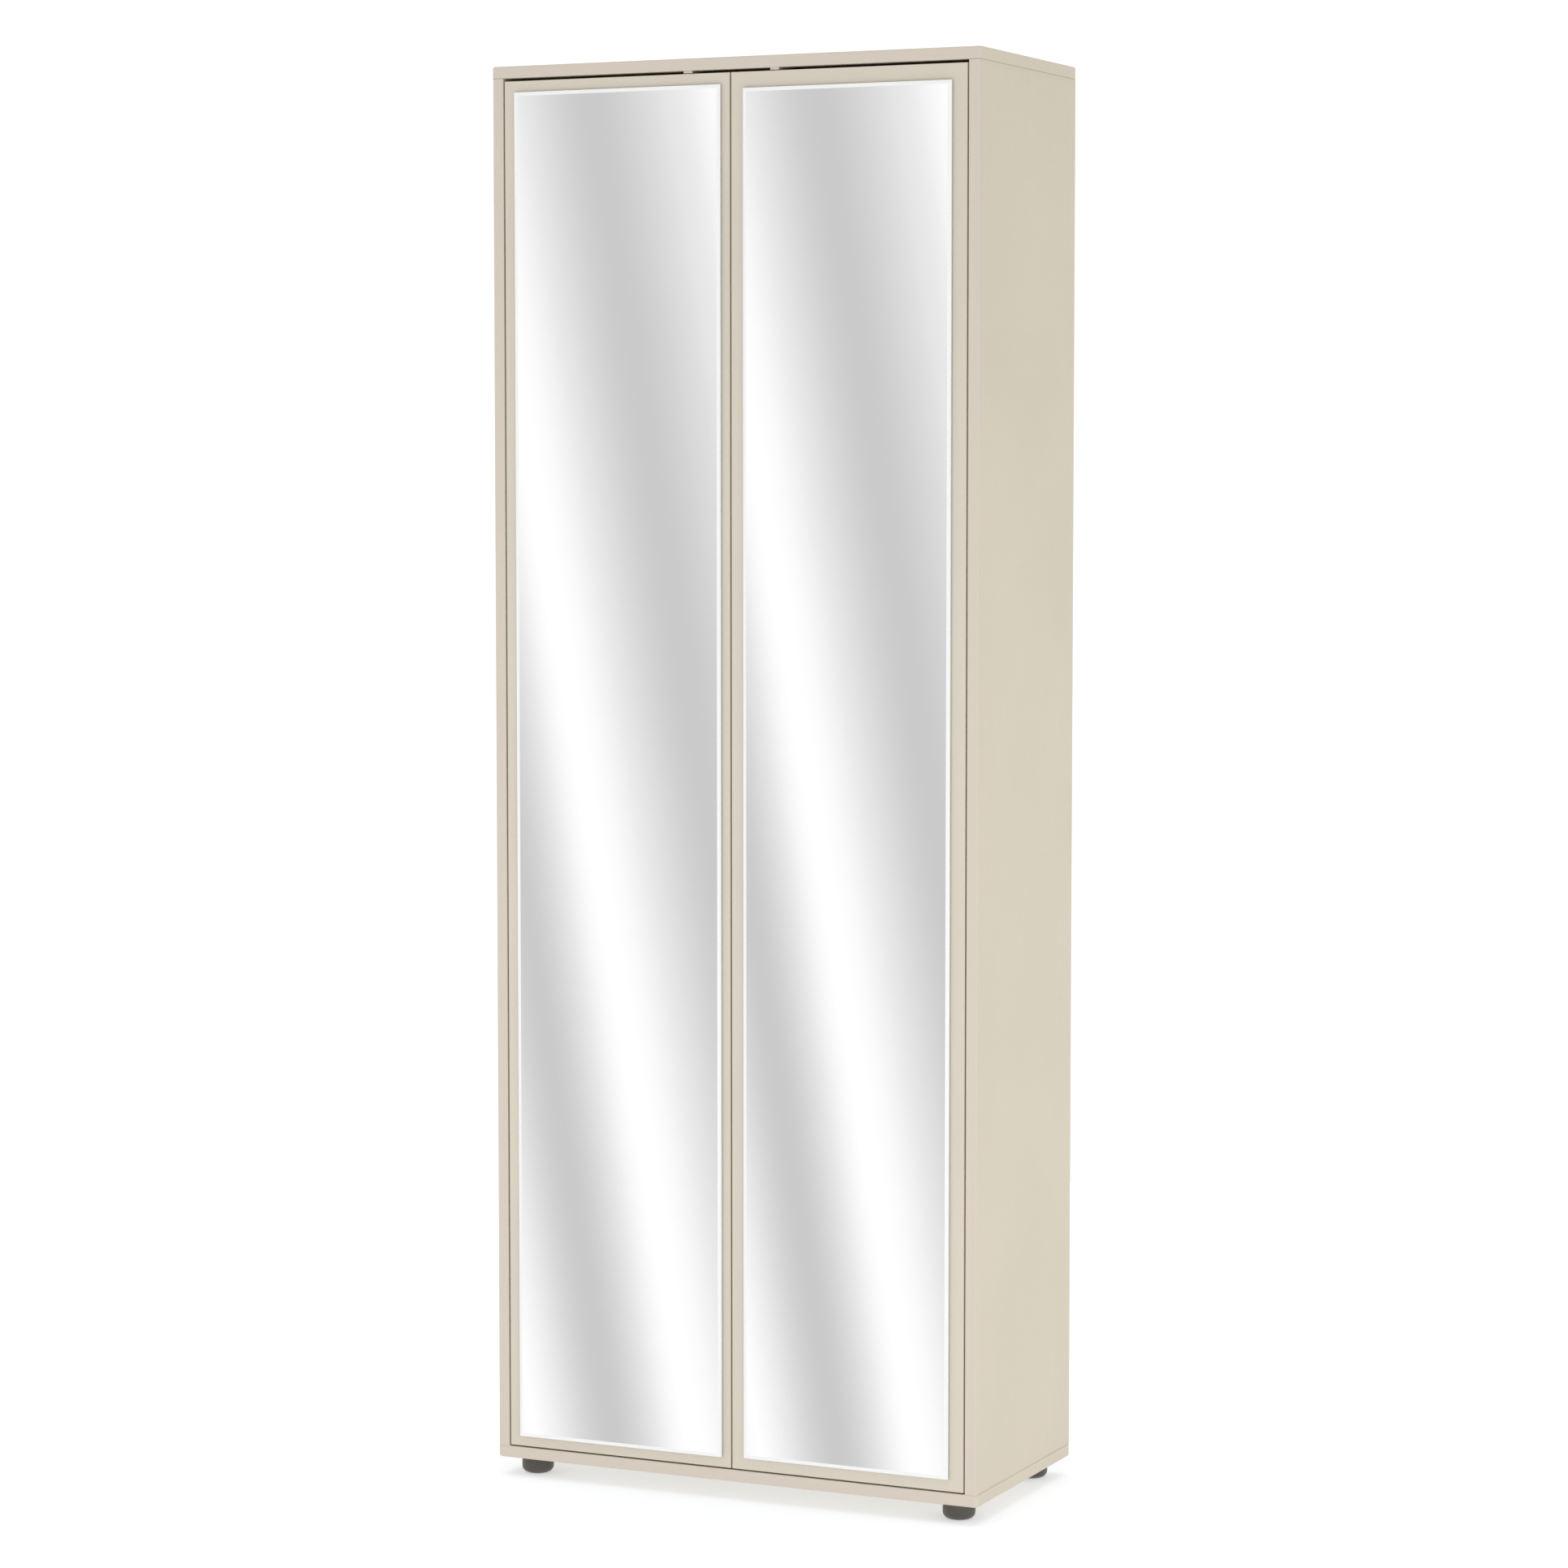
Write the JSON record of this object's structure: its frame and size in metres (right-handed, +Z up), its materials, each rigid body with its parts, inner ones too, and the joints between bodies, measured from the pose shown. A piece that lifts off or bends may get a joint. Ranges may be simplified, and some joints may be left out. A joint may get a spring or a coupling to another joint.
{
  "type": "armoire",
  "caption": "Tall shallow armoire on round feet with inset push-to-open doors, each faced with a bevelled mirror, and shelves inside.",
  "frame": {"origin": "on the floor, under the centre of the cabinet's bounding box", "axes": "+Z up, -Y is the front with the mirrors, +X is to the right of a person facing the doors"},
  "size_m": [0.7, 0.335, 1.889],
  "materials": {
    "sand_laminate": "matt melamine-faced board with matching edge band",
    "hardboard": "white-lacquered hardboard",
    "silvered_glass": "silvered float glass with a bevelled edge",
    "foam_tape": "double-sided foam tape",
    "grey_plastic": "light grey moulded plastic",
    "dark_plastic": "dark grey-brown moulded plastic",
    "beech": "fluted hardwood",
    "nickel_plated_steel": "satin nickel plate",
    "zinc_plated_steel": "bright zinc plate",
    "zinc_alloy": "die-cast zinc"
  },
  "bodies": {
    "cabinet": {"adjustable_shelf_1": "sand_laminate", "adjustable_shelf_2": "sand_laminate", "adjustable_shelf_3": "sand_laminate", "adjustable_shelf_4": "sand_laminate", "anti_tip_bracket": "zinc_plated_steel", "anti_tip_screws": "zinc_plated_steel", "back_joining_strip": "grey_plastic", "back_panel_lower": "hardboard", "back_panel_upper": "hardboard", "bottom_panel": "sand_laminate", "cam_bolts": "zinc_plated_steel", "cam_locks": "zinc_alloy", "dowels": "beech", "fixed_shelf": "sand_laminate", "foot_front_left": "dark_plastic", "foot_front_right": "dark_plastic", "foot_rear_left": "dark_plastic", "foot_rear_right": "dark_plastic", "foot_screws": "zinc_plated_steel", "hinge_adjusters": "zinc_plated_steel", "hinge_plate_screws": "zinc_plated_steel", "latch_screws": "zinc_plated_steel", "left_hinge_arm_1": "nickel_plated_steel", "left_hinge_arm_2": "nickel_plated_steel", "left_hinge_arm_3": "nickel_plated_steel", "left_hinge_arm_4": "nickel_plated_steel", "left_hinge_plates": "nickel_plated_steel", "left_latch_housing": "grey_plastic", "left_side_panel": "sand_laminate", "right_hinge_arm_1": "nickel_plated_steel", "right_hinge_arm_2": "nickel_plated_steel", "right_hinge_arm_3": "nickel_plated_steel", "right_hinge_arm_4": "nickel_plated_steel", "right_hinge_plates": "nickel_plated_steel", "right_latch_housing": "grey_plastic", "right_side_panel": "sand_laminate", "shelf_pins": "zinc_plated_steel", "top_panel": "sand_laminate"},
    "left_door": {"left_cup_screws": "zinc_plated_steel", "left_door_panel": "sand_laminate", "left_hinge_cup_1": "nickel_plated_steel", "left_hinge_cup_2": "nickel_plated_steel", "left_hinge_cup_3": "nickel_plated_steel", "left_hinge_cup_4": "nickel_plated_steel", "left_hinge_pins": "zinc_plated_steel", "left_mirror": "silvered_glass", "left_mirror_tape": "foam_tape", "left_strike_plate": "zinc_plated_steel"},
    "right_door": {"right_cup_screws": "zinc_plated_steel", "right_door_panel": "sand_laminate", "right_hinge_cup_1": "nickel_plated_steel", "right_hinge_cup_2": "nickel_plated_steel", "right_hinge_cup_3": "nickel_plated_steel", "right_hinge_cup_4": "nickel_plated_steel", "right_hinge_pins": "zinc_plated_steel", "right_mirror": "silvered_glass", "right_mirror_tape": "foam_tape", "right_strike_plate": "zinc_plated_steel"},
    "left_plunger": {"left_latch_plunger": "grey_plastic"},
    "right_plunger": {"right_latch_plunger": "grey_plastic"}
  },
  "joints": [
    {"name": "left_door_hinge", "type": "hinge", "parent": "cabinet", "child": "left_door", "pos_m": [-0.3168, -0.1555, 0.956], "axis": [0, 0, -1], "range_deg": [0, 100]},
    {"name": "right_door_hinge", "type": "hinge", "parent": "cabinet", "child": "right_door", "pos_m": [0.3168, -0.1555, 0.956], "axis": [0, 0, 1], "range_deg": [0, 100]},
    {"name": "left_latch_slide", "type": "slide", "parent": "cabinet", "child": "left_plunger", "axis": [0, -1, 0], "range_m": [0, 0.01135]},
    {"name": "right_latch_slide", "type": "slide", "parent": "cabinet", "child": "right_plunger", "axis": [0, -1, 0], "range_m": [0, 0.01135]}
  ],
  "couplings": [
    {"joint": "left_latch_slide", "follows": "left_door_hinge", "m_per_rad": 0.0065},
    {"joint": "right_latch_slide", "follows": "right_door_hinge", "m_per_rad": 0.0065}
  ]
}
